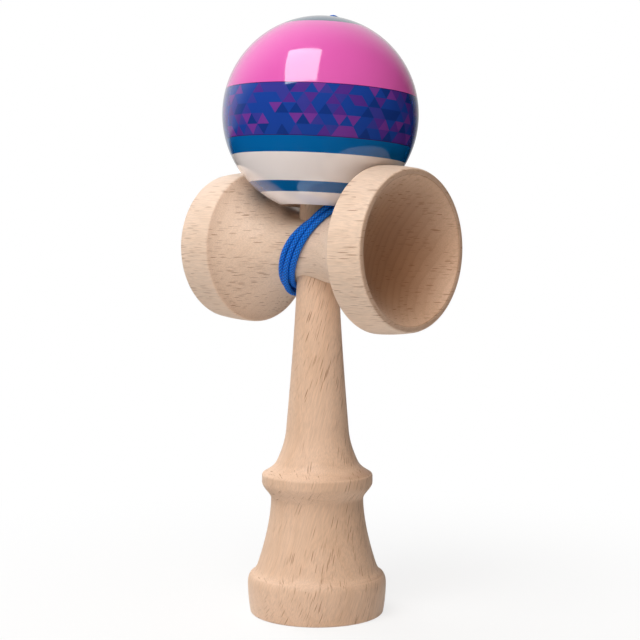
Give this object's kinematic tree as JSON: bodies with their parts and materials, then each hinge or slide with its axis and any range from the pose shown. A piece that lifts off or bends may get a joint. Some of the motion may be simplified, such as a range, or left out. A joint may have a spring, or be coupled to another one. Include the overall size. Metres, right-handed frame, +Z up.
{
  "type": "kendama",
  "caption": "Turned beech handle with a spike and base cup, a crosspiece with two cups, and a drilled lacquered ball parked on the spike and tied on by a wound string.",
  "frame": {"origin": "centre of the ken's foot, on the surface that it stands on", "axes": "+Z up along the ken towards its spike, +X along the crosspiece towards the big cup"},
  "size_m": [0.075, 0.0617, 0.1847],
  "materials": {
    "beech": "fine sanded, bare",
    "lacquer": "gloss lacquer in bands",
    "string": "braided",
    "bead": "gloss"
  },
  "bodies": {
    "ken": {"ken": "beech"},
    "sarado": {"sarado": "beech", "anchor_knot": "string", "string_winding": "string"},
    "string_end": {"string_run": "string", "string_tail": "string", "bead": "bead", "end_knot": "string"},
    "tama": {"tama": "lacquer"}
  },
  "joints": [
    {"name": "sarado_lift", "type": "slide", "parent": "ken", "child": "sarado", "axis": [0, 0, 1], "range_m": [0, 0.065]},
    {"name": "tama_lift", "type": "slide", "parent": "sarado", "child": "string_end", "axis": [0, 0.068, 0.9977], "range_m": [0, 0.045], "deforming": ["string_run"]},
    {"name": "tama_spin", "type": "hinge", "parent": "string_end", "child": "tama", "pos_m": [0, 0.0009, 0.15361], "axis": [0, 0.068, 0.9977], "continuous": true}
  ]
}
